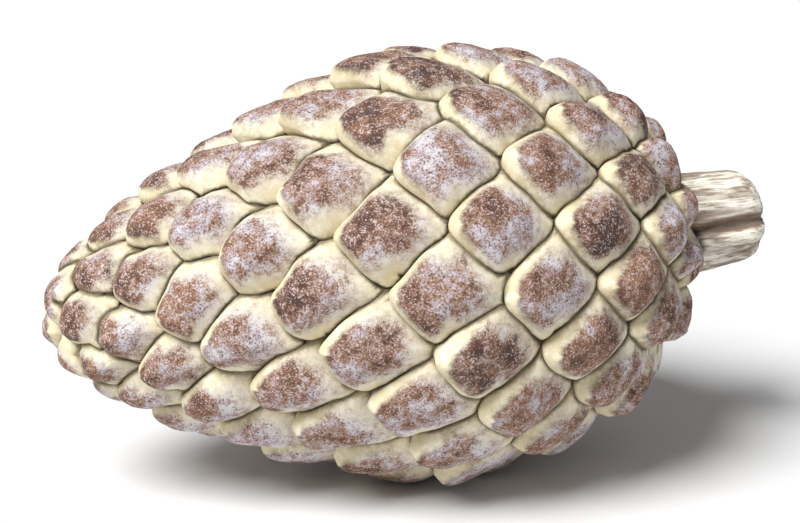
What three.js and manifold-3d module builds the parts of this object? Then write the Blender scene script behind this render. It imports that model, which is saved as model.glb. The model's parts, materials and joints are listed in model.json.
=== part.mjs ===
// A closed conifer cone lying on its side: a woody head of overlapping scales, and its short stalk.
// Millimetres, +Z up, resting surface at z = 0, the stalk pointing along +X and a little upwards.

import * as THREE from 'three';
import { mergeVertices } from 'three/addons/utils/BufferGeometryUtils.js';
import Module from 'manifold-3d';

const wasm = await Module();
wasm.setup();

// Outline of the head, measured along its axis from the widest ring
const WIDEST_RADIUS = 35.0;
const TIP_LENGTH = 57.4;
const TIP_BLUNTNESS = 17.5;
const TIP_SHOULDER = 4.2;
const BASE_LENGTH = 47.6;
const BASE_BLUNTNESS = 22.7;
const BASE_SHOULDER = 29.9;

// Spiral that the scales grow in, numbered upwards from the stalk to the tip
const TURN_PER_SCALE = THREE.MathUtils.degToRad(137.325);
const FIRST_TURN = THREE.MathUtils.degToRad(60.8);
const INDEX_AT_TIP = 64.6;
const LAST_SCALE = 64;
const FIRST_SCALE = -75;
const PITCH_TIP = 6.6;
const PITCH_WIDEST = 13.5;
const PITCH_BASE = 10.0;

// One scale, in shares of the pitch where it stands
const SCALE_SIDES = 8;
const SMALL_SCALE_SIDES = 6;
const SMALL_SCALE_PITCH = 10;
const SCALE_SET_BACK = 0.2;
const SCALE_LEAN = 0.17;
const CORNER_ROUNDNESS = 0.4;
const CORNER_POWER = 11;
const LONGEST_REACH = 0.85;
const END_SCALES = 14;
const NEIGHBOUR_STEPS = [1, 2, 3, 5, 8, 13, 21];
const SAME_WAY = 0.35;
const SCALE_SECTION = [
  { reach: 0.0, height: 0.03 },
  { reach: 0.66, height: 0.0 },
  { reach: 0.95, height: -0.11 },
  { reach: 1.2, height: -0.42 },
  { reach: 0.0, height: -0.55 },
];
const SMALL_SCALE_SECTION = [
  { reach: 0.0, height: 0.04 },
  { reach: 0.88, height: -0.06 },
  { reach: 1.2, height: -0.42 },
  { reach: 0.0, height: -0.55 },
];
const SIZE_VARIATION = 0.05;
const LEAN_VARIATION = 0.05;
const SEED = 7;

// Woody core under the scales
const CORE_DEPTH = 3.2;
const CORE_SIDES = 16;
const CORE_ROWS = 14;

// Stalk
const STALK_ROOT_RADIUS = 8.6;
const STALK_END_RADIUS = 7.7;
const STALK_ROOT_AT = 41.0;
const STALK_END_AT = 60.0;
const STALK_ROUNDING = 4.5;
const STALK_FACE_RADIUS = 3.6;
const STALK_SIDES = 40;
const STALK_ROWS = 10;
const STRAIGHT_ROWS = 3;
const RIDGES = 9;
const RIDGE_HEIGHT = 0.4;
const SEAT_CLEARANCE = 0.4;
const SEAT_SIDES = 24;

// How the cone lies: stalk end raised, lowest scales worn flat on the resting surface
const STALK_RISE = THREE.MathUtils.degToRad(5);
const WIDEST_RING_CENTRE = new THREE.Vector3(-1.67, -0.07, 33.3);
const WEAR_BLOCK = 200;

// Points closer than this are one point
const MERGE_DISTANCE = 1e-4;

// Seeded random numbers from 0 to 1, by a linear congruence
const RANDOM_FACTOR = 1664525;
const RANDOM_STEP = 1013904223;
const RANDOM_RANGE = 2 ** 32;

function seededRandom(seed) {
  let state = seed;
  return () => {
    state = (state * RANDOM_FACTOR + RANDOM_STEP) % RANDOM_RANGE;
    return state / RANDOM_RANGE;
  };
}

// Outline curve from the tip to the middle of the base, as points { x, r }
const tipCurve = new THREE.CubicBezierCurve(
  new THREE.Vector2(-TIP_LENGTH, 0),
  new THREE.Vector2(-TIP_LENGTH, TIP_BLUNTNESS),
  new THREE.Vector2(-TIP_SHOULDER, WIDEST_RADIUS),
  new THREE.Vector2(0, WIDEST_RADIUS),
);
const baseCurve = new THREE.CubicBezierCurve(
  new THREE.Vector2(0, WIDEST_RADIUS),
  new THREE.Vector2(BASE_SHOULDER, WIDEST_RADIUS),
  new THREE.Vector2(BASE_LENGTH, BASE_BLUNTNESS),
  new THREE.Vector2(BASE_LENGTH, 0),
);
const CURVE_STEPS = 200;
const outline = [...tipCurve.getPoints(CURVE_STEPS), ...baseCurve.getPoints(CURVE_STEPS).slice(1)];

// Distance from one scale to the next like it, along the head
function pitchAt(x) {
  const share = x < 0 ? -x / TIP_LENGTH : x / BASE_LENGTH;
  const end = x < 0 ? PITCH_TIP : PITCH_BASE;
  return PITCH_WIDEST + (end - PITCH_WIDEST) * share * share;
}

// Number of scales between the tip and each point of the outline
const scalesFromTip = [0];
for (let k = 1; k < outline.length; k += 1) {
  const a = outline[k - 1];
  const b = outline[k];
  const ringArea = Math.PI * (a.y + b.y) * a.distanceTo(b);
  scalesFromTip.push(scalesFromTip[k - 1] + ringArea / pitchAt((a.x + b.x) / 2) ** 2);
}

// Place of a scale: its point on the outline surface, and its directions.
// tipward and around lie in the surface, outward stands off it.
function placeOf(index) {
  const count = INDEX_AT_TIP - index;
  const last = outline.length - 1;
  const fromEnd = Math.min(count, scalesFromTip[last] - count);
  if (count <= 0 || count >= scalesFromTip[last]) return null;
  let k = 1;
  while (scalesFromTip[k] < count) k += 1;
  const share = (count - scalesFromTip[k - 1]) / (scalesFromTip[k] - scalesFromTip[k - 1]);
  const point = outline[k - 1].clone().lerp(outline[k], share);
  const length = outline[k].distanceTo(outline[k - 1]);
  const along = outline[k].clone().sub(outline[k - 1]).normalize();
  const before = outline[Math.max(k - 1, 1)].clone().sub(outline[Math.max(k - 1, 1) - 1]).normalize();
  const angle = FIRST_TURN + TURN_PER_SCALE * index;
  const radial = new THREE.Vector3(0, -Math.cos(angle), Math.sin(angle));
  const axis = new THREE.Vector3(1, 0, 0);
  return {
    pitch: pitchAt(point.x),
    openness: Math.min(1, fromEnd / END_SCALES),
    bendAlong: before.cross(along) < 0 ? -before.cross(along) / length : 0,
    bendAround: along.x / point.y,
    centre: axis.clone().multiplyScalar(point.x).addScaledVector(radial, point.y),
    tipward: axis.clone().multiplyScalar(-along.x).addScaledVector(radial, -along.y),
    outward: axis.clone().multiplyScalar(-along.y).addScaledVector(radial, along.x),
    around: new THREE.Vector3(0, Math.sin(angle), Math.cos(angle)),
  };
}

// Ways from a scale to those around it, as steps { u tipward, v around } in its surface, nearest first
function waysOut(index, place) {
  return NEIGHBOUR_STEPS.flatMap((step) => [placeOf(index + step), placeOf(index - step)])
    .filter((near) => near !== null)
    .map((near) => {
      const gap = near.centre.clone().sub(place.centre);
      return new THREE.Vector2(gap.dot(place.tipward), gap.dot(place.around)).setLength(gap.length());
    })
    .sort((a, b) => a.length() - b.length());
}

// The two nearest ways that lead tipward. The first lies clockwise of the second,
// so that a turn from one to the other faces outwards.
function sidesOf(ways) {
  const near = ways.map((way) => (way.x > 0 ? way.clone() : way.clone().negate()));
  const one = near[0];
  const other = near.find((way) => Math.abs(way.cross(one)) > SAME_WAY * way.length() * one.length());
  return one.cross(other) > 0 ? [one, other] : [other, one];
}

// How far a scale reaches along a unit way: half the way to its neighbours, with rounded corners
function reachTowards(way, ways, pitch) {
  const longest = (LONGEST_REACH * pitch) ** -CORNER_POWER;
  const total = ways.reduce((sum, near) => {
    const closeness = Math.max((2 * way.dot(near)) / near.lengthSq(), 0);
    return sum + closeness ** CORNER_POWER;
  }, longest);
  return total ** (-1 / CORNER_POWER);
}

// A unit sphere's grid moved onto a form: place(row share 0 to 1, turn) gives each point
function formed(sides, rows, place) {
  const geometry = new THREE.SphereGeometry(1, sides, rows);
  geometry.deleteAttribute('normal');
  geometry.deleteAttribute('uv');
  const merged = mergeVertices(geometry, MERGE_DISTANCE);
  const position = merged.attributes.position;
  const point = new THREE.Vector3();
  for (let k = 0; k < position.count; k += 1) {
    point.fromBufferAttribute(position, k);
    const row = Math.round((Math.acos(THREE.MathUtils.clamp(point.y, -1, 1)) / Math.PI) * rows);
    const turn = Math.atan2(point.z, point.x);
    point.copy(place(row / rows, turn));
    position.setXYZ(k, point.x, point.y, point.z);
  }
  return merged;
}

// Conversions between geometries and solids for joining and cutting
function solidOf(geometry) {
  const bare = new THREE.BufferGeometry();
  bare.setAttribute('position', geometry.attributes.position.clone());
  bare.setIndex(geometry.index.clone());
  const merged = mergeVertices(bare, MERGE_DISTANCE);
  const mesh = new wasm.Mesh({
    numProp: 3,
    vertProperties: new Float32Array(merged.attributes.position.array),
    triVerts: new Uint32Array(merged.index.array),
  });
  return new wasm.Manifold(mesh);
}

function geometryOf(solid) {
  const mesh = solid.getMesh();
  const geometry = new THREE.BufferGeometry();
  geometry.setAttribute('position', new THREE.BufferAttribute(mesh.vertProperties, 3));
  geometry.setIndex(new THREE.BufferAttribute(mesh.triVerts, 1));
  geometry.computeVertexNormals();
  return geometry;
}

// A number's root that keeps its sign, which squares a circle with round corners
function squared(value) {
  return Math.sign(value) * Math.abs(value) ** CORNER_ROUNDNESS;
}

// The largest body that joining and cutting leave: small voids and loose scraps go
function wholeBody(solid) {
  const bodies = solid.decompose();
  return bodies.reduce((best, body) => (body.volume() > best.volume() ? body : best));
}

// One scale: a thick rounded shield, leaning so that its tipward edge stands proud
function scaleGeometry(index, random) {
  const place = placeOf(index);
  const ways = waysOut(index, place);
  const [first, second] = sidesOf(ways);
  const size = 1 + SIZE_VARIATION * (2 * random() - 1);
  const lean = (SCALE_LEAN + LEAN_VARIATION * (2 * random() - 1)) * place.openness;
  const small = place.pitch < SMALL_SCALE_PITCH;
  const profile = small ? SMALL_SCALE_SECTION : SCALE_SECTION;
  const sides = small ? SMALL_SCALE_SIDES : SCALE_SIDES;
  const rows = profile.length - 1;
  const halfStep = Math.PI / sides;
  return formed(sides, rows, (share, turn) => {
    const section = profile[Math.round(share * rows)];
    const way = first
      .clone()
      .multiplyScalar(squared(Math.cos(turn + halfStep)))
      .addScaledVector(second, squared(Math.sin(turn + halfStep)))
      .normalize();
    const far = section.reach * size * reachTowards(way, ways, place.pitch);
    const u = far * way.x - SCALE_SET_BACK * place.pitch;
    const v = far * way.y;
    const drop = (place.bendAlong * u * u + place.bendAround * v * v) / 2;
    const w = section.height * place.pitch + lean * u - drop;
    return place.centre
      .clone()
      .addScaledVector(place.tipward, u)
      .addScaledVector(place.around, v)
      .addScaledVector(place.outward, w);
  });
}

// Core: the outline drawn in by its depth
function coreGeometry() {
  const shrink = (WIDEST_RADIUS - CORE_DEPTH) / WIDEST_RADIUS;
  return formed(CORE_SIDES, CORE_ROWS, (share, turn) => {
    const k = Math.round(share * (outline.length - 1));
    const x = outline[k].x * shrink;
    const r = outline[k].y * shrink;
    return new THREE.Vector3(x, -r * Math.cos(turn), -r * Math.sin(turn));
  });
}

// Half section of the stalk: tapering from its root, then rounded over to a small flat end
function stalkSection(row) {
  if (row === 0) return { x: STALK_ROOT_AT, r: 0 };
  if (row === STALK_ROWS) return { x: STALK_END_AT, r: 0 };
  const straight = Math.min((row - 1) / STRAIGHT_ROWS, 1);
  const roundRows = STALK_ROWS - 2 - STRAIGHT_ROWS;
  const bend = (Math.max(row - 1 - STRAIGHT_ROWS, 0) / roundRows) * (Math.PI / 2);
  const side = THREE.MathUtils.lerp(STALK_ROOT_RADIUS, STALK_END_RADIUS, straight);
  const along = THREE.MathUtils.lerp(STALK_ROOT_AT, STALK_END_AT - STALK_ROUNDING, straight);
  return {
    x: along + STALK_ROUNDING * Math.sin(bend),
    r: side - (STALK_END_RADIUS - STALK_FACE_RADIUS) * (1 - Math.cos(bend)),
  };
}

// Ridged stalk
function stalkGeometry() {
  return formed(STALK_SIDES, STALK_ROWS, (share, turn) => {
    const { x, r } = stalkSection(Math.round(share * STALK_ROWS));
    const ridge = RIDGE_HEIGHT * (Math.cos(RIDGES * turn + Math.sin(2 * turn)) - 1);
    const radius = r + ridge * (r / STALK_ROOT_RADIUS);
    return new THREE.Vector3(x, -radius * Math.cos(turn), -radius * Math.sin(turn));
  });
}

// Seat in the base of the head that the stalk stands in
function seatGeometry() {
  const depth = STALK_END_AT - STALK_ROOT_AT;
  const seat = new THREE.CylinderGeometry(
    STALK_ROOT_RADIUS + SEAT_CLEARANCE,
    STALK_ROOT_RADIUS + SEAT_CLEARANCE,
    depth,
    SEAT_SIDES,
  );
  seat.rotateZ(Math.PI / 2);
  seat.translate(STALK_ROOT_AT - SEAT_CLEARANCE + depth / 2, 0, 0);
  return seat;
}

// Lay a geometry down as the cone lies
function laidDown(geometry) {
  geometry.rotateY(-STALK_RISE);
  geometry.translate(WIDEST_RING_CENTRE.x, WIDEST_RING_CENTRE.y, WIDEST_RING_CENTRE.z);
  return geometry;
}

function headGeometry() {
  const random = seededRandom(SEED);
  let head = solidOf(laidDown(coreGeometry()));
  for (let index = FIRST_SCALE; index <= LAST_SCALE; index += 1) {
    head = head.add(solidOf(laidDown(scaleGeometry(index, random))));
  }
  head = head.subtract(solidOf(laidDown(seatGeometry())));
  const worn = new THREE.BoxGeometry(WEAR_BLOCK, WEAR_BLOCK, WEAR_BLOCK);
  worn.translate(0, 0, -WEAR_BLOCK / 2);
  return geometryOf(wholeBody(head.subtract(solidOf(worn))));
}

const group = new THREE.Group();

const head = new THREE.Mesh(
  headGeometry(),
  new THREE.MeshStandardMaterial({ color: 0xcdb896, roughness: 0.9, metalness: 0 }),
);
head.name = 'head';
group.add(head);

const stalk = new THREE.Mesh(
  laidDown(stalkGeometry()),
  new THREE.MeshStandardMaterial({ color: 0xb5a58c, roughness: 0.95, metalness: 0 }),
);
stalk.name = 'stalk';
group.add(stalk);

export default group;
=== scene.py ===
import json
import math
import random

import bmesh
import bpy
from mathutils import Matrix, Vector, noise
from mathutils.geometry import interpolate_bezier
from mathutils.kdtree import KDTree

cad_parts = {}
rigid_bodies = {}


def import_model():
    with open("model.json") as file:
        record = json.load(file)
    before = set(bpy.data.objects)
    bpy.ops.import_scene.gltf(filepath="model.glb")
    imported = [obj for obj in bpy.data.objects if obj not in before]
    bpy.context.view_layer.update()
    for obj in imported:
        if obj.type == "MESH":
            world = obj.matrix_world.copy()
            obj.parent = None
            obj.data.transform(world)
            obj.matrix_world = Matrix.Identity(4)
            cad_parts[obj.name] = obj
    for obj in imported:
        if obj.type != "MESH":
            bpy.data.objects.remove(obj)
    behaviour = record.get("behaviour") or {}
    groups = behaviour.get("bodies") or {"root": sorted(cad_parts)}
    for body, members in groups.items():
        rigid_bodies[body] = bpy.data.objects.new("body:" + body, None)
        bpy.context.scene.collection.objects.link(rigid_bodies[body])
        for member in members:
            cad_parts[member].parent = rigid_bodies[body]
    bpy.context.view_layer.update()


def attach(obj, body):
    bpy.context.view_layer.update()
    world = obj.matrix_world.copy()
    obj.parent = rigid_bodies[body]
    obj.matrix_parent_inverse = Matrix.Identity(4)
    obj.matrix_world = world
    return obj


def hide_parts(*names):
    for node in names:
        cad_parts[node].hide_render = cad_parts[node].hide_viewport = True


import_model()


# The woody head: a core grown over with thick scales in 8 spirals one way and 13 the other.
# Each scale is a cushion whose tipward edges stand free over its neighbours, and whose stem
# side runs under the edges of the next ones. The lowest scales are worn flat where it lies.
mm = 0.001
WIDEST_RADIUS = 35.0 * mm
TIP_LENGTH = 57.4 * mm
TIP_BLUNTNESS = 17.5 * mm
TIP_SHOULDER = 4.2 * mm
BASE_LENGTH = 47.6 * mm
BASE_BLUNTNESS = 22.7 * mm
BASE_SHOULDER = 29.9 * mm
CURVE_POINTS = 201


def outline_points():
    """Half of the head's outline, tip to base, as (along the axis, from the axis)."""
    widest = Vector((0, WIDEST_RADIUS))
    tip = Vector((-TIP_LENGTH, 0))
    tip_side = Vector((-TIP_LENGTH, TIP_BLUNTNESS))
    tip_shoulder = widest - Vector((TIP_SHOULDER, 0))
    base = Vector((BASE_LENGTH, 0))
    base_side = Vector((BASE_LENGTH, BASE_BLUNTNESS))
    base_shoulder = widest + Vector((BASE_SHOULDER, 0))
    before = interpolate_bezier(tip, tip_side, tip_shoulder, widest, CURVE_POINTS)
    after = interpolate_bezier(widest, base_shoulder, base_side, base, CURVE_POINTS)
    return before + after[1:]


PITCH_TIP = 6.6 * mm
PITCH_WIDEST = 13.5 * mm
PITCH_BASE = 10.0 * mm


def pitch_at(x):
    """The mean spacing of the scales, which shrinks towards both ends."""
    share = -x / TIP_LENGTH if x < 0 else x / BASE_LENGTH
    end = PITCH_TIP if x < 0 else PITCH_BASE
    return PITCH_WIDEST + (end - PITCH_WIDEST) * share * share


outline = outline_points()
scales_from_tip = [0.0]
for a, b in zip(outline, outline[1:]):
    ring_area = math.pi * (a.y + b.y) * (b - a).length
    scales_from_tip.append(scales_from_tip[-1] + ring_area / pitch_at((a.x + b.x) / 2) ** 2)


def eased(t, start, end):
    """0 at start and 1 at end, with a soft begin and end."""
    s = min(max((t - start) / (end - start), 0), 1)
    return s * s * (3 - 2 * s)


FIRST_SCALE = -75
LAST_SCALE = 64
INDEX_AT_TIP = 64.6
TURN_PER_SCALE = math.radians(137.325)
FIRST_TURN = math.radians(60.8)
END_SCALES = 14
BASE_SCALES = 6
PLUMP_FROM = 0.15
PLUMP_TO = 0.75


class Place:
    """Where one scale grows: its point, its pitch and its directions on the head."""

    def __init__(self, index):
        count = INDEX_AT_TIP - index
        from_base = scales_from_tip[-1] - count
        self.there = count > 0 and from_base > 0
        if not self.there:
            return
        k = next(k for k, number in enumerate(scales_from_tip) if number >= count)
        share = (count - scales_from_tip[k - 1]) / (scales_from_tip[k] - scales_from_tip[k - 1])
        point = outline[k - 1].lerp(outline[k], share)
        along = (outline[k] - outline[k - 1]).normalized()
        start = max(k - 1, 1)
        before = (outline[start] - outline[start - 1]).normalized()
        angle = FIRST_TURN + TURN_PER_SCALE * index
        axis = Vector((1, 0, 0))
        radial = Vector((0, -math.cos(angle), math.sin(angle)))
        bend = -before.cross(along) / (outline[k] - outline[k - 1]).length
        self.pitch = pitch_at(point.x)
        self.openness = min(1, count / END_SCALES, from_base / BASE_SCALES)
        self.plump = eased(point.x / BASE_LENGTH, PLUMP_FROM, PLUMP_TO)
        self.bend_along = max(bend, 0)
        self.bend_around = along.x / point.y
        self.centre = axis * point.x + radial * point.y
        self.tipward = -axis * along.x - radial * along.y
        self.outward = radial * along.x - axis * along.y
        self.around = Vector((0, math.sin(angle), math.cos(angle)))


NEIGHBOUR_STEPS = (1, 2, 3, 5, 8, 13, 21)
NEIGHBOURS = 10
SAME_WAY = 0.35
LONGEST_REACH = 0.85


def ways_out(index, place):
    """The ways from a scale to those around it, as (tipward, around), nearest first."""
    ways = []
    for step in NEIGHBOUR_STEPS:
        for near in (Place(index + step), Place(index - step)):
            if near.there:
                gap = near.centre - place.centre
                flat = Vector((gap.dot(place.tipward), gap.dot(place.around)))
                ways.append(flat.normalized() * gap.length)
    return sorted(ways, key=lambda way: way.length)[:NEIGHBOURS]


def sides_of(ways):
    """The two nearest ways that lead tipward, in the order that faces the scale outwards."""
    near = [way if way.x > 0 else -way for way in ways]
    one = near[0]
    other = next(w for w in near if abs(w.cross(one)) > SAME_WAY * w.length * one.length)
    return (one, other) if one.cross(other) < 0 else (other, one)


def reach_towards(way, ways, pitch, power):
    """How far a scale reaches along a unit way: half way to its neighbours, corners rounded."""
    total = (LONGEST_REACH * pitch) ** -power
    for near in ways:
        closeness = 2 * way.dot(near) / near.length_squared
        if closeness > 0:
            total += closeness ** power
    return total ** (-1 / power)


STALK_RISE = math.radians(5)
WIDEST_RING_CENTRE = Vector((-1.67, -0.07, 33.3)) * mm


def laid_down(point):
    """A point of the cone along the x axis, turned and moved to where the cone lies."""
    cos, sin = math.cos(STALK_RISE), math.sin(STALK_RISE)
    turned = Vector((point.x * cos - point.z * sin, point.y, point.x * sin + point.z * cos))
    return turned + WIDEST_RING_CENTRE


SCALE_CUTS = 16
RINGS = ((1, 0), (0.995, 0.04), (0.965, 0.11), (0.945, 0.22), (0.95, 0.42), (0, 0.55))
ROOT_RING = len(RINGS) - 1


def scale_blank():
    """A square cushion of quads, its wall rings and its root, not yet shaped.

    x and y say where on the scale a point is, from -1 to 1, and -z is the number of its
    ring in RINGS, 0 on top. RINGS holds (share of the reach, depth in pitches)."""
    blank = bmesh.new()
    bmesh.ops.create_grid(blank, x_segments=SCALE_CUTS, y_segments=SCALE_CUTS, size=1)
    for ring in range(1, len(RINGS)):
        edge = [e for e in blank.edges if e.is_boundary]
        grown = bmesh.ops.extrude_edge_only(blank, edges=edge)["geom"]
        for v in (g for g in grown if isinstance(g, bmesh.types.BMVert)):
            v.co.z = -ring
    root = [v for v in blank.verts if v.co.z == -ROOT_RING]
    bmesh.ops.pointmerge(blank, verts=root, merge_co=(0, 0, -ROOT_RING))
    bmesh.ops.recalc_face_normals(blank, faces=blank.faces)
    return blank


SLOPE_START = -0.28
SLOPE_BEND = 0.22
SLOPE_FALL = 0.28
SLOPE_JOIN = 4


def rim(t, width):
    """How far the top has rolled over at t on its way to a free edge at 1, from 0 to 1."""
    s = min(max((t - 1 + width) / width, 0), 1)
    return 1 - math.sqrt(max(1 - s * s, 0))


def slope(a, b):
    """How far the top has sunk on its way under the next scales' edges, which are at -1."""
    past_a, past_b = SLOPE_START - a, SLOPE_START - b
    down_a = (past_a + math.hypot(past_a, SLOPE_BEND)) / 2
    down_b = (past_b + math.hypot(past_b, SLOPE_BEND)) / 2
    return SLOPE_FALL * (down_a ** SLOPE_JOIN + down_b ** SLOPE_JOIN) ** (1 / SLOPE_JOIN)


SCALE_SET_BACK = 0.2
SCALE_LEAN = 0.17
PLUMP_LEAN = 0.06
LEAN_EASES_AT = -0.2
LEAN_EASES_TO = 0.3
CORNER_POWER = 11
KNOB_CORNER_POWER = 6
RIM_WIDTH = 0.36
KNOB_RIM_WIDTH = 0.38
PLUMP_RIM_WIDTH = 0.25
RIM_DROP = 0.15
PLUMP_RIM_DROP = 0.06
TUCKED_REACH = 1.45
TUCK_FROM = 0.0
TUCK_TO = 0.5
CROWN = 0.05
KNOB_CROWN = 0.09
PLUMP_CROWN = 0.10
SUNK = 0.055
KNOB_SUNK = 0.082
PLUMP_SUNK = 0.05
SIZE_VARIATION = 0.03
LEAN_VARIATION = 0.05
WARP = 0.08
WARP_SIZE = 0.8
DENT = 0.04
DENT_SIZE = 0.5
GRAIN = 0.12 * mm
GRAIN_SIZE = 1.3 * mm


def shaped_scale(blank, index, draw):
    """A copy of the blank, moved to where scale number index grows.

    A knob is a small scale near an end of the head, a plump one sits near the stalk. The UV
    map cell keeps the place on the scale, and the attribute own three draws of its tint."""
    place = Place(index)
    ways = ways_out(index, place)
    first, second = sides_of(ways)
    size = 1 + SIZE_VARIATION * (2 * draw.random() - 1)
    lean = SCALE_LEAN + PLUMP_LEAN * place.plump + LEAN_VARIATION * (2 * draw.random() - 1)
    lean *= place.openness
    tint = (draw.random(), draw.random(), draw.random())
    knob = (PITCH_WIDEST - place.pitch) / (PITCH_WIDEST - PITCH_TIP)
    crown = CROWN + KNOB_CROWN * knob + PLUMP_CROWN * place.plump
    width = RIM_WIDTH + KNOB_RIM_WIDTH * knob + PLUMP_RIM_WIDTH * place.plump
    rim_drop = RIM_DROP + PLUMP_RIM_DROP * place.plump
    sunk = SUNK + KNOB_SUNK * knob + PLUMP_SUNK * place.plump
    power = CORNER_POWER + (KNOB_CORNER_POWER - CORNER_POWER) * knob
    part = blank.copy()
    cell = part.loops.layers.uv.new("cell")
    own = part.verts.layers.float_vector.new("own")
    for face in part.faces:
        for corner in face.loops:
            corner[cell].uv = corner.vert.co.xy
    for v in part.verts:
        v[own] = tint
        x, y, ring = v.co.x, v.co.y, round(-v.co.z)
        far = max(abs(x), abs(y))
        reach, deep = RINGS[ring]
        way = (x * first + y * second).normalized()
        tucked = eased(-way.x, TUCK_FROM, TUCK_TO)
        reach *= size * (1 + (TUCKED_REACH - 1) * tucked)
        if far > 0:
            way *= far * reach * reach_towards(way, ways, place.pitch, power)
        a = 2 * way.cross(second) / first.cross(second)
        b = 2 * first.cross(way) / first.cross(second)
        bend = noise.noise_vector(Vector((a, b, index)) / WARP_SIZE) * WARP * place.pitch / 2
        u = way.x + bend.x - SCALE_SET_BACK * place.pitch
        w = way.y + bend.y
        drop = (place.bend_along * u * u + place.bend_around * w * w) / 2
        top = crown * (1 - far * far) - rim_drop * rim(far, width) * (1 - tucked) - sunk
        top -= slope(a, b) * place.openness
        if ring == ROOT_RING:
            top = 0
        seat = place.centre + place.tipward * u + place.around * w
        bumps = noise.noise(seat / (DENT_SIZE * place.pitch) + Vector((index, 0, 0)))
        tilt = u - (1 - LEAN_EASES_TO) * min(u - LEAN_EASES_AT * place.pitch, 0)
        height = (top - deep + DENT * bumps) * place.pitch + lean * tilt - drop
        height += GRAIN * noise.noise(seat / GRAIN_SIZE)
        v.co = laid_down(seat + place.outward * height)
    return part


CORE_DEPTH = 3.8 * mm
CORE_SIDES = 48
CORE_ROWS = 32
OFF_THE_CELL = (-1, -1)


def turned_and_share(point):
    """A point of the unit sphere, as (turn about the z axis, share of the way down)."""
    return math.atan2(point.y, point.x), math.acos(max(-1, min(1, point.z))) / math.pi


def core_shape():
    """The head's outline drawn in by the core's depth."""
    core = bmesh.new()
    cell = core.loops.layers.uv.new("cell")
    core.verts.layers.float_vector.new("own")
    bmesh.ops.create_uvsphere(core, u_segments=CORE_SIDES, v_segments=CORE_ROWS, radius=1)
    for face in core.faces:
        for corner in face.loops:
            corner[cell].uv = OFF_THE_CELL
    shrink = (WIDEST_RADIUS - CORE_DEPTH) / WIDEST_RADIUS
    for v in core.verts:
        turn, share = turned_and_share(v.co)
        at = outline[round(share * (len(outline) - 1))] * shrink
        v.co = laid_down(Vector((at.x, at.y * math.sin(turn), at.y * math.cos(turn))))
    bmesh.ops.recalc_face_normals(core, faces=core.faces)
    return core


def piece(name, shape, into):
    """An object made of a bmesh, which is then let go, in the collection into."""
    mesh = bpy.data.meshes.new(name)
    shape.to_mesh(mesh)
    shape.free()
    made = bpy.data.objects.new(name, mesh)
    into.objects.link(made)
    return made


def joined(core, scales):
    """Joins a collection's scales to the core as one body, kept as the core's own mesh."""
    join = core.modifiers.new("join", "BOOLEAN")
    join.operation = "UNION"
    join.operand_type = "COLLECTION"
    join.collection = scales
    join.solver = "MANIFOLD"
    whole = core.evaluated_get(bpy.context.evaluated_depsgraph_get())
    core.data = bpy.data.meshes.new_from_object(whole)
    core.modifiers.clear()
    for scale in list(scales.objects):
        bpy.data.objects.remove(scale)
    bpy.data.collections.remove(scales)


def cleaned(mesh):
    """Takes away closed-in scraps, and wears what is lower than the floor down to it."""
    whole = bmesh.new()
    whole.from_mesh(mesh)
    seen = set()
    bodies = []
    for start in whole.verts:
        if start in seen:
            continue
        body, edge = [], [start]
        seen.add(start)
        while edge:
            v = edge.pop()
            body.append(v)
            for e in v.link_edges:
                other = e.other_vert(v)
                if other not in seen:
                    seen.add(other)
                    edge.append(other)
        bodies.append(body)
    bodies.sort(key=len)
    scraps = [v for body in bodies[:-1] for v in body]
    bmesh.ops.delete(whole, geom=scraps, context="VERTS")
    for v in whole.verts:
        v.co.z = max(v.co.z, 0)
    whole.to_mesh(mesh)
    whole.free()


def mark_nearness(mesh, name, points, farthest):
    """Keeps each vertex's distance in millimetres to the nearest of points, as an attribute."""
    tree = KDTree(len(points))
    for index, point in enumerate(points):
        tree.insert(point, index)
    tree.balance()
    marked = mesh.attributes.new(name, "FLOAT", "POINT")
    for v in mesh.vertices:
        marked.data[v.index].value = min(tree.find(v.co)[2] / mm, farthest)


SEAM_ANGLE = math.radians(38)
GROOVE_ANGLE = math.radians(25)
GROOVE_REACH = 4.0


def folds_of(mesh):
    """The points on the hollow folds between scales."""
    shape = bmesh.new()
    shape.from_mesh(mesh)
    folds = set()
    for e in shape.edges:
        if len(e.link_faces) == 2 and e.calc_face_angle_signed(0) < -GROOVE_ANGLE:
            folds.update(v.index for v in e.verts)
    shape.free()
    return [mesh.vertices[index].co for index in folds]


DRAW = 7

everything = bpy.context.scene.collection
noise.seed_set(DRAW)
draw = random.Random(DRAW)
blank = scale_blank()
grown = bpy.data.collections.new("grown")
everything.children.link(grown)
for index in range(FIRST_SCALE, LAST_SCALE + 1):
    piece(f"scale_{index - FIRST_SCALE}", shaped_scale(blank, index, draw), grown)
blank.free()
head = piece("cone_head", core_shape(), everything)
joined(head, grown)
cleaned(head.data)
mark_nearness(head.data, "groove", folds_of(head.data), GROOVE_REACH)
head.data.shade_smooth()
head.data.set_sharp_from_angle(angle=SEAM_ANGLE)
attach(head, "root")
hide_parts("head")


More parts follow.
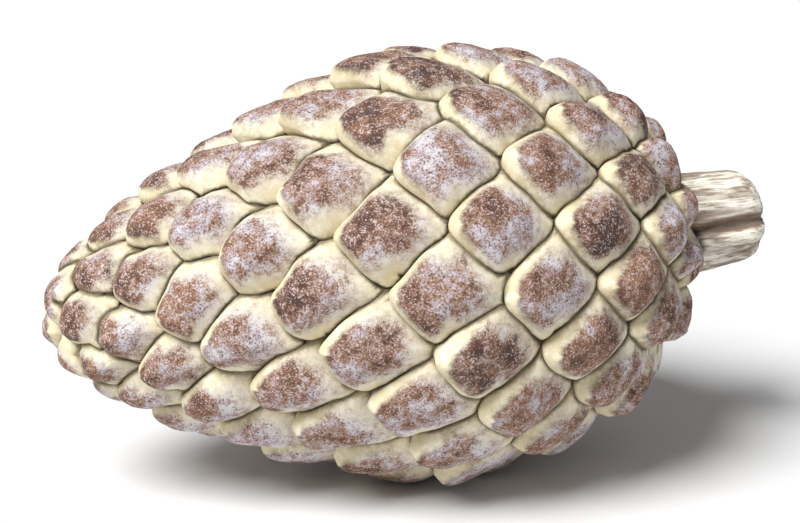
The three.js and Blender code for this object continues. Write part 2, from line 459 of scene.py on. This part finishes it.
class Shade:
    """A shader socket: sums and products of it add Math nodes, and node() adds any other node."""

    def __init__(self, tree, socket=None):
        self.tree = tree
        self.socket = socket

    def node(self, kind, settings=None, inputs=None, output=0):
        made = self.tree.nodes.new(kind)
        for name, value in (settings or {}).items():
            if name == "stops":
                for place, colour in value:
                    stop = made.color_ramp.elements.new(place)
                    stop.color = colour
                made.color_ramp.elements.remove(made.color_ramp.elements[0])
                made.color_ramp.elements.remove(made.color_ramp.elements[-1])
            else:
                setattr(made, name, value)
        for name, value in (inputs or {}).items():
            if isinstance(value, Shade):
                self.tree.links.new(value.socket, made.inputs[name])
            else:
                made.inputs[name].default_value = value
        return Shade(self.tree, made.outputs[output])

    def maths(self, operation, *values):
        return self.node("ShaderNodeMath", {"operation": operation}, dict(enumerate(values)))

    def __add__(self, other):
        return self.maths("ADD", self, other)

    def __sub__(self, other):
        return self.maths("SUBTRACT", self, other)

    def __mul__(self, other):
        return self.maths("MULTIPLY", self, other)

    def __truediv__(self, other):
        return self.maths("DIVIDE", self, other)

    def __rsub__(self, other):
        return self.maths("SUBTRACT", other, self)

    def __abs__(self):
        return self.maths("ABSOLUTE", self)

    def __pow__(self, power):
        return self.maths("POWER", self, power)

    __radd__ = __add__
    __rmul__ = __mul__

    def along(self, axis):
        """The x, y or z of a vector, for axis 0, 1 or 2."""
        return self.node("ShaderNodeSeparateXYZ", None, {0: self}, output=axis)

    def attribute(self, name, output=2):
        """A mesh attribute by its name, as a value, or as a vector for output 1."""
        return self.node("ShaderNodeAttribute", {"attribute_name": name}, output=output)

    def step(self, low, high):
        """0 below low and 1 above high, smooth between them."""
        settings = {"interpolation_type": "SMOOTHSTEP"}
        inputs = {"Value": self, "From Min": low, "From Max": high}
        return self.node("ShaderNodeMapRange", settings, inputs)

    def mix(self, under, over):
        """The colour over laid on the colour under, where this value is 1."""
        return self.node("ShaderNodeMix", {"data_type": "RGBA"}, {0: self, 6: under, 7: over}, 2)


def speckle(place, size, detail, roughness):
    """Noise whose lumps are about this size, from 0 to 1."""
    inputs = {"Vector": place, "Scale": 1 / size, "Detail": detail, "Roughness": roughness}
    return place.node("ShaderNodeTexNoise", None, inputs)


def uneven(speckles, shares):
    """Three sizes of speckle added up, each round 0 and times its share."""
    broad, middle, fine = ((part - 0.5) * share for part, share in zip(speckles, shares))
    return broad + middle + fine


def new_paint(name):
    """A material, with a Shade to start its nodes from and the place on the piece."""
    made = bpy.data.materials.new(name)
    made.use_nodes = True
    start = Shade(made.node_tree)
    return made, start, start.node("ShaderNodeTexCoord", output=3)


def finished_paint(made, colour, height, bump, roughness, shine):
    """The material with its colour, its relief of (strength, depth), roughness and shine."""
    shader = made.node_tree.nodes["Principled BSDF"]
    inputs = {"Strength": bump[0], "Distance": bump[1], "Height": height}
    relief = height.node("ShaderNodeBump", None, inputs)
    made.node_tree.links.new(colour.socket, shader.inputs["Base Color"])
    made.node_tree.links.new(relief.socket, shader.inputs["Normal"])
    shader.inputs["Roughness"].default_value = roughness
    shader.inputs["Specular IOR Level"].default_value = shine
    return made


CREAM = (0.69, 0.605, 0.405, 1)
CREAM_LIGHT = (0.83, 0.785, 0.63, 1)
TAN = (0.42, 0.32, 0.17, 1)
OLIVE = (0.30, 0.225, 0.10, 1)
CREVICE = (0.020, 0.013, 0.005, 1)
FROST = (0.62, 0.58, 0.60, 1)
LILAC = (0.40, 0.33, 0.35, 1)
PINK_BROWN = (0.34, 0.21, 0.155, 1)
BROWN = (0.20, 0.11, 0.075, 1)
DARK_BROWN = (0.085, 0.045, 0.036, 1)
ORANGE_BROWN = (0.33, 0.17, 0.10, 1)
WEAR_COLOURS = (
    (0.12, DARK_BROWN), (0.32, BROWN), (0.5, PINK_BROWN), (0.68, LILAC), (0.9, FROST),
)
SPECKLES = ((4 * mm, 2, 0.5), (1.1 * mm, 3, 0.6), (0.28 * mm, 1, 0.6))

PATCH_MIDDLE = (0.19, 0.21)
PATCH_HALF = (0.70, 0.70)
PATCH_SQUARENESS = 6
PATCH_RAGGED = (0.55, 0.35, 0.3)
CRISP_TIPWARD = (-0.2, 0.8)
CRISP = 0.75
PATCH_EDGE = (0.95, 1.0)
EDGE_SOFTNESS = 0.03
STEMWARD_SOFTNESS = 0.16

WEAR_UNEVEN = (1.5, 0.9, 0.7)
WEAR_MEAN = 0.42
WEAR_BY_SCALE = 0.36
WEAR_TIPWARD = 0.14
WEAR_OUTWARD = 0.14
WEAR_LOW = 0.12
LOW_FROM = 34 * mm
LOW_TO = 8 * mm
RUST_WHERE = (0.5, 0.8)
RUST_WORN_OFF = (0.4, 0.65)
RUST = 0.4
SPECK_WHERE = (0.8, 0.94)
SPECK = 0.6
PORE_OFF = (0.5, 0.64)
PORE = 0.7
RIM_LINE_WHERE = (0.78, 0.95)
RIM_LINE_TIPWARD = (0.1, 0.6)
RIM_LINE = 0.55

LIGHTER_WHERE = (0.5, 0.85)
STAIN_FINE = (0.62, 0.75)
STAIN_MIDDLE = (0.45, 0.6)
STAIN = 0.5
DUST_OFF = (0.95, 1.5)
DUST_STEMWARD = (0.3, 1.2)
DUST_FINE = (0.3, 0.6)
DUST = 0.7

# Painted shade in the grooves: an olive halo near each fold, and nearly black dirt with painted shade
# in the fold itself.
SHADY_OFF = (0.1, 1.2)
SHADY_RAGGED = 1.2
SHADY = 0.5
DIRT_AND_SHADE_OFF = (0.1, 0.75)
DIRT_AND_SHADE_RAGGED = 0.6
DIRT_AND_SHADE_BROKEN = (0.4, 0.75)
DIRT_AND_SHADE_LEAST = 0.3
DIRT_AND_SHADE_MORE = 0.45
# A painted shadow: more of the groove darkness on the x = -1 side of each scale, the side turned from
# the lamp.
PAINTED_SHADOW_STEMWARD = (1.1, 1.8)
PAINTED_SHADOW_STEMWARD_MORE = 0.35

SCALE_BUMP = (0.6, 0.25 * mm)
SCALE_ROUGHNESS = 0.85
SCALE_SHINE = 0.25


def scale_paint():
    """Cream scales with a brown patch on each, worn and dusted with frost, with dirt and painted
    shade in the grooves.
    """
    made, start, place = new_paint("scale_paint")
    cell = start.node("ShaderNodeUVMap", {"uv_map": "cell"})
    x, y = cell.along(0), cell.along(1)
    own = start.attribute("own", 1)
    frosty, warm = own.along(0), own.along(1)
    groove = start.attribute("groove")
    broad, middle, fine = speckles = [speckle(place, *kind) for kind in SPECKLES]

    # The patch: a rounded square on each scale, ragged on its stem side and crisp towards the tip.
    tipward = (x + y) * 0.5
    across = abs(x - PATCH_MIDDLE[0]) / PATCH_HALF[0]
    down = abs(y - PATCH_MIDDLE[1]) / PATCH_HALF[1]
    reach = (across ** PATCH_SQUARENESS + down ** PATCH_SQUARENESS) ** (1 / PATCH_SQUARENESS)
    edge = reach + uneven(speckles, PATCH_RAGGED) * (1 - tipward.step(*CRISP_TIPWARD) * CRISP)
    soft = (1 - tipward) * STEMWARD_SOFTNESS + EDGE_SOFTNESS
    patch = 1 - edge.step(PATCH_EDGE[0] - soft, PATCH_EDGE[1] + soft)

    # Its colour: dark brown where whole, through pink and lilac to frost where worn.
    low = 1 - place.along(2).step(LOW_TO, LOW_FROM)
    wear = uneven(speckles, WEAR_UNEVEN) + WEAR_MEAN + (frosty - 0.5) * WEAR_BY_SCALE
    wear = wear - tipward * WEAR_TIPWARD + reach * WEAR_OUTWARD + low * WEAR_LOW
    brown = wear.node("ShaderNodeValToRGB", {"stops": WEAR_COLOURS}, {0: wear})
    rust = (broad * 0.6 + warm * 0.5).step(*RUST_WHERE) * (1 - wear.step(*RUST_WORN_OFF))
    brown = (rust * RUST).mix(brown, ORANGE_BROWN)
    brown = ((fine + middle * 0.5).step(*SPECK_WHERE) * SPECK).mix(brown, FROST)
    brown = ((1 - (fine + middle * 0.4).step(*PORE_OFF)) * PORE).mix(brown, DARK_BROWN)
    rim_line = edge.step(*RIM_LINE_WHERE) * tipward.step(*RIM_LINE_TIPWARD)
    brown = (rim_line * RIM_LINE).mix(brown, DARK_BROWN)

    # The sides: cream with lighter spots and tan stains, and a little frost stemward of the patch.
    cream = (middle * 0.7 + broad * 0.5).step(*LIGHTER_WHERE).mix(CREAM, CREAM_LIGHT)
    cream = (fine.step(*STAIN_FINE) * middle.step(*STAIN_MIDDLE) * STAIN).mix(cream, TAN)
    dust = (1 - edge.step(*DUST_OFF)) * (1 - tipward).step(*DUST_STEMWARD) * fine.step(*DUST_FINE)
    cream = (dust * DUST).mix(cream, FROST)

    # The grooves: painted shade, olive near a fold, and dirt with painted shade, nearly black, in it,
    # in a line that is broken here and there.
    shady = 1 - (groove + (middle - 0.5) * SHADY_RAGGED).step(*SHADY_OFF)
    colour = (shady * SHADY).mix(patch.mix(cream, brown), OLIVE)
    dirt_and_shade = (broad * 0.6 + middle * 0.6).step(*DIRT_AND_SHADE_BROKEN) * DIRT_AND_SHADE_MORE + DIRT_AND_SHADE_LEAST
    # Painted shadow: the groove darkens more along the scale's x = -1 side.
    dirt_and_shade = dirt_and_shade + (1 - x).step(*PAINTED_SHADOW_STEMWARD) * PAINTED_SHADOW_STEMWARD_MORE
    deep = 1 - (groove + (middle - 0.5) * DIRT_AND_SHADE_RAGGED).step(*DIRT_AND_SHADE_OFF)
    colour = (deep * dirt_and_shade).mix(colour, CREVICE)

    height = middle * 0.35 + fine * 0.25 + patch * fine * 0.3
    return finished_paint(made, colour, height, SCALE_BUMP, SCALE_ROUGHNESS, SCALE_SHINE)


head.data.materials.clear()
head.data.materials.append(scale_paint())


# The stalk: a short woody stub in the seat at the base, cream and grey-brown bark in uneven
# ridges along it, one deep furrow on the side, rounded over at its end. It grew with the head's core.
STALK_ROOT_RADIUS = 8.6 * mm
STALK_END_RADIUS = 7.7 * mm
STALK_FACE_RADIUS = 3.6 * mm
STALK_ROOT_AT = 41.0 * mm
STALK_END_AT = 60.0 * mm
STALK_ROUNDING = 4.5 * mm
ROOT_FACE_TO = 0.05
BEND_FROM = 0.6
BEND_TO = 0.9


def stalk_section(share):
    """Half section of the stalk: root face, taper, rounded end and small flat."""
    straight = min(max((share - ROOT_FACE_TO) / (BEND_FROM - ROOT_FACE_TO), 0), 1)
    bend = min(max((share - BEND_FROM) / (BEND_TO - BEND_FROM), 0), 1) * math.pi / 2
    radius = STALK_ROOT_RADIUS + (STALK_END_RADIUS - STALK_ROOT_RADIUS) * straight
    x = STALK_ROOT_AT + (STALK_END_AT - STALK_ROUNDING - STALK_ROOT_AT) * straight
    radius -= (STALK_END_RADIUS - STALK_FACE_RADIUS) * (1 - math.cos(bend))
    x += STALK_ROUNDING * math.sin(bend)
    return x, radius * min(share / ROOT_FACE_TO, 1, (1 - share) / (1 - BEND_TO))


STALK_SIDES = 220
STALK_ROWS = 90
RIDGE_LAYERS = (
    (2.6, 34 * mm, 1.5 * mm), (6, 16 * mm, 0.9 * mm), (14, 7 * mm, 0.35 * mm),
)
FURROW_TURN = math.radians(-7)
FURROW_WIDTH = math.radians(4)
FURROW_SPREAD = math.radians(7)
FURROW_DEPTH = 1.5 * mm
BARK_LIFT = 0.3 * mm
END_GRAIN = 0.35 * mm
END_SUNK = 0.1


def stalk_shape():
    """The stalk with bark ridges along it, each layer as (ridges round it, length, height).

    The attribute furrow is 1 at the bottom of a furrow."""
    stalk = bmesh.new()
    furrow = stalk.verts.layers.float.new("furrow")
    bmesh.ops.create_uvsphere(stalk, u_segments=STALK_SIDES, v_segments=STALK_ROWS, radius=1)
    for v in stalk.verts:
        turn, share = turned_and_share(v.co)
        x, radius = stalk_section(share)
        bark = 0
        for turns, length, height in RIDGE_LAYERS:
            at = Vector((math.cos(turn) * turns, math.sin(turn) * turns, x / length))
            bark -= height * abs(noise.noise(at))
        along = (x - STALK_ROOT_AT) / (STALK_END_AT - STALK_ROOT_AT)
        spread = FURROW_WIDTH + FURROW_SPREAD * along
        bark -= FURROW_DEPTH * math.exp(-((turn - FURROW_TURN) / spread) ** 2)
        bark += BARK_LIFT
        v[furrow] = min(max(-bark / FURROW_DEPTH, 0), 1)
        radius += bark * radius / STALK_ROOT_RADIUS
        grain = noise.noise(Vector((math.cos(turn), math.sin(turn), 0)) * radius / mm)
        x -= END_GRAIN * (END_SUNK + abs(grain)) * along
        v.co = laid_down(Vector((x, -radius * math.cos(turn), -radius * math.sin(turn))))
    bmesh.ops.recalc_face_normals(stalk, faces=stalk.faces)
    return stalk


COLLAR_REACH = 3.0

stalk = piece("cone_stalk", stalk_shape(), everything)
stalk.data.shade_smooth()
mark_nearness(stalk.data, "collar", [v.co for v in head.data.vertices], COLLAR_REACH)
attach(stalk, "root")
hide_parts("stalk")

BARK = (0.58, 0.49, 0.37, 1)
BARK_PALE = (0.88, 0.84, 0.74, 1)
BARK_BROWN = (0.16, 0.10, 0.07, 1)
BARK_GREY = (0.25, 0.195, 0.165, 1)
STREAK = (2.0 * mm, 4, 0.65)
THIN_STREAK = (0.6 * mm, 3, 0.6)
BARK_SPECKLE = (0.3 * mm, 2, 0.6)
STREAKS_DRAWN = (0.13, 1, 1)
PALE_WHERE = (0.5, 0.66)
GREY_OFF = (0.58, 0.74)
GREY = 0.8
BROWN_STREAKS = (0.55, 0.66)
BROWN_STREAK = 0.6
BROWN_SPECKS = (0.58, 0.7)
BROWN_SPECK = 0.3
FURROW_WHERE = (0.25, 0.75)
FURROW_RAGGED = 0.6
FURROW_DARK = 0.8
# Painted shade on the bark next to the scales.
COLLAR_OFF = (0.1, 1.4)
COLLAR_RAGGED = 1.5
COLLAR_DARK = 0.85
BARK_BUMP = (0.7, 0.35 * mm)
BARK_ROUGHNESS = 0.9
BARK_SHINE = 0.2


def bark_paint():
    """Pale bark with grey-brown streaks along it, darker in its furrows, with painted shade where it
    meets the scales.
    """
    made, start, place = new_paint("bark_paint")
    collar = start.attribute("collar")
    furrow = start.attribute("furrow")
    drawn = place.node("ShaderNodeMapping", None, {"Vector": place, "Scale": STREAKS_DRAWN})
    streak = speckle(drawn, *STREAK)
    thin = speckle(drawn, *THIN_STREAK)
    fine = speckle(place, *BARK_SPECKLE)
    colour = (streak * 0.7 + thin * 0.5).step(*PALE_WHERE).mix(BARK, BARK_PALE)
    colour = ((1 - (streak + thin * 0.4).step(*GREY_OFF)) * GREY).mix(colour, BARK_GREY)
    colour = (thin.step(*BROWN_STREAKS) * BROWN_STREAK).mix(colour, BARK_BROWN)
    colour = (fine.step(*BROWN_SPECKS) * BROWN_SPECK).mix(colour, BARK_BROWN)
    furrowed = (furrow + (thin - 0.5) * FURROW_RAGGED).step(*FURROW_WHERE)
    colour = (furrowed * FURROW_DARK).mix(colour, BARK_BROWN)
    # Painted shade, nearly black, on the bark next to the scales.
    shaded = 1 - (collar + (streak - 0.5) * COLLAR_RAGGED).step(*COLLAR_OFF)
    colour = (shaded * COLLAR_DARK).mix(colour, CREVICE)
    height = streak * 0.5 + thin * 0.4 + fine * 0.2
    return finished_paint(made, colour, height, BARK_BUMP, BARK_ROUGHNESS, BARK_SHINE)


stalk.data.materials.append(bark_paint())


# The floor that the cone lies on: a wide, plain, pale matt sheet, which is not part of the cone.
FLOOR_SIZE = 4.0
FLOOR_COLOUR = (0.78, 0.78, 0.78, 1)
FLOOR_ROUGHNESS = 0.9

floor_shape = bmesh.new()
bmesh.ops.create_grid(floor_shape, x_segments=1, y_segments=1, size=FLOOR_SIZE)
floor = piece("floor", floor_shape, everything)
pale = bpy.data.materials.new("pale_floor")
pale.use_nodes = True
pale.node_tree.nodes["Principled BSDF"].inputs["Base Color"].default_value = FLOOR_COLOUR
pale.node_tree.nodes["Principled BSDF"].inputs["Roughness"].default_value = FLOOR_ROUGHNESS
floor.data.materials.append(pale)


# The light: a broad soft lamp high on the left in front, in a room that lights every side a
# little and looks pure white behind the cone.
ROOM_LIGHT = 0.22
KEY_FROM = Vector((-0.55, -0.36, 0.85))
KEY_STRENGTH = 4.45
KEY_BREADTH = math.radians(30)

world = bpy.data.worlds.new("studio")
world.use_nodes = True
background = world.node_tree.nodes["Background"]
background.inputs["Color"].default_value = (1, 1, 1, 1)
looked_at = Shade(world.node_tree).node("ShaderNodeLightPath")
brightness = looked_at * (1 - ROOM_LIGHT) + ROOM_LIGHT
world.node_tree.links.new(brightness.socket, background.inputs["Strength"])
bpy.context.scene.world = world
bpy.context.scene.view_settings.view_transform = "Standard"

key_data = bpy.data.lights.new("key", "SUN")
key_data.energy = KEY_STRENGTH
key_data.angle = KEY_BREADTH
key = bpy.data.objects.new("key", key_data)
everything.objects.link(key)
key.rotation_mode = "QUATERNION"
key.rotation_quaternion = KEY_FROM.to_track_quat("Z", "Y")


# The camera: a little above the cone and to the left of square-on, aimed at the centre of the
# widest ring, with the picture shifted so that this centre is where the photograph has it.
CAMERA_AZIMUTH = math.radians(15.0)
CAMERA_ELEVATION = math.radians(15.3)
CAMERA_DISTANCE = 286 * mm
CAMERA_LENS = 81.4
SENSOR = 36.0
PHOTO_SIZE = (800, 523)
AIM_PIXEL = (404.86, 267.87)

camera_data = bpy.data.cameras.new("camera")
camera_data.sensor_width = SENSOR
camera_data.lens = CAMERA_LENS
camera_data.shift_x = (PHOTO_SIZE[0] / 2 - AIM_PIXEL[0]) / PHOTO_SIZE[0]
camera_data.shift_y = (AIM_PIXEL[1] - PHOTO_SIZE[1] / 2) / PHOTO_SIZE[0]
camera = bpy.data.objects.new("camera", camera_data)
everything.objects.link(camera)
back = Vector((
    -math.sin(CAMERA_AZIMUTH) * math.cos(CAMERA_ELEVATION),
    -math.cos(CAMERA_AZIMUTH) * math.cos(CAMERA_ELEVATION),
    math.sin(CAMERA_ELEVATION),
))
camera.location = WIDEST_RING_CENTRE + back * CAMERA_DISTANCE
camera.rotation_mode = "QUATERNION"
camera.rotation_quaternion = back.to_track_quat("Z", "Y")
bpy.context.scene.camera = camera
